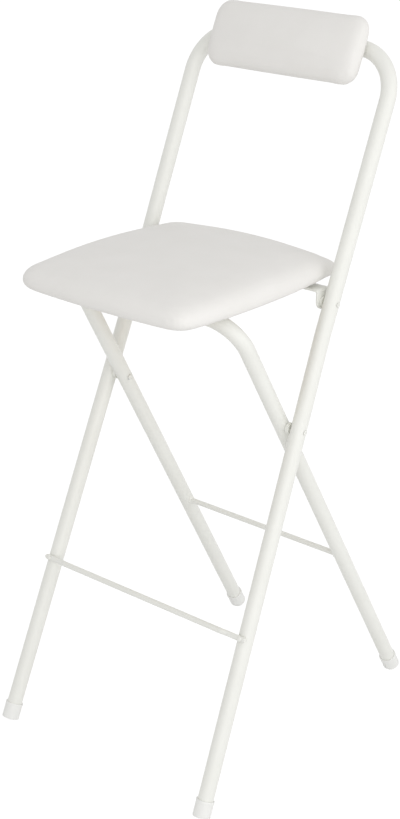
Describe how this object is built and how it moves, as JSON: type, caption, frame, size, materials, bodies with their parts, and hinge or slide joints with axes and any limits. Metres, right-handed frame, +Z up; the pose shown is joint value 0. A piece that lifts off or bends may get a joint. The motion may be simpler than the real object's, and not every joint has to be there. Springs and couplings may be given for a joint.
{
  "type": "folding bar stool",
  "caption": "Tall folding bar stool: a leaning tubular frame with a padded backrest, crossed by a shorter tubular frame, a padded flip-up seat, a footrest rod and a rear brace.",
  "frame": {"origin": "on the floor, under the middle of the open stool's bounding box", "axes": "+Z up; the person sitting on it faces -Y, and the backrest is towards +Y; node names say left for -X and right for +X, as seen from the front"},
  "size_m": [0.3996, 0.5156, 1.0111],
  "materials": {
    "frame_paint": "gloss",
    "foot_plastic": "satin",
    "nylon": "satin",
    "cushion_vinyl": "satin",
    "plywood": "matte",
    "zinc_steel": "satin"
  },
  "bodies": {
    "main_frame": {"main_frame_tube": "frame_paint", "footrest_bar": "frame_paint", "footrest_rivet_left": "frame_paint", "footrest_rivet_right": "frame_paint", "front_foot_left": "foot_plastic", "front_foot_right": "foot_plastic", "pivot_rivet_left": "frame_paint", "pivot_rivet_right": "frame_paint", "pivot_spacer_left": "nylon", "pivot_spacer_right": "nylon", "hinge_rivet_left": "frame_paint", "hinge_rivet_right": "frame_paint", "hinge_washer_left": "nylon", "hinge_washer_right": "nylon", "backrest_board": "plywood", "backrest_cushion": "cushion_vinyl", "backrest_screw_left": "zinc_steel", "backrest_screw_right": "zinc_steel"},
    "rear_frame": {"rear_frame_tube": "frame_paint", "rear_brace": "frame_paint", "rear_foot_left": "foot_plastic", "rear_foot_right": "foot_plastic"},
    "seat": {"seat_board": "plywood", "seat_cushion": "cushion_vinyl", "seat_bracket_left": "frame_paint", "seat_bracket_right": "frame_paint", "bracket_screw_left_1": "zinc_steel", "bracket_screw_left_2": "zinc_steel", "bracket_screw_right_1": "zinc_steel", "bracket_screw_right_2": "zinc_steel", "crossbar_saddle_left": "nylon", "crossbar_saddle_right": "nylon", "saddle_screw_left_front": "zinc_steel", "saddle_screw_left_rear": "zinc_steel", "saddle_screw_right_front": "zinc_steel", "saddle_screw_right_rear": "zinc_steel"}
  },
  "joints": [
    {"name": "rear_frame_fold", "type": "hinge", "parent": "main_frame", "child": "rear_frame", "pos_m": [0, -0.03162, 0.49554], "axis": [-1, 0, 0], "range_deg": [0, 52]},
    {"name": "seat_fold", "type": "hinge", "parent": "main_frame", "child": "seat", "pos_m": [0, 0.03853, 0.65612], "axis": [-1, 0, 0], "range_deg": [0, 113.6]}
  ],
  "couplings": [
    {"joint": "seat_fold", "follows": "rear_frame_fold", "ratio": 2.183}
  ]
}
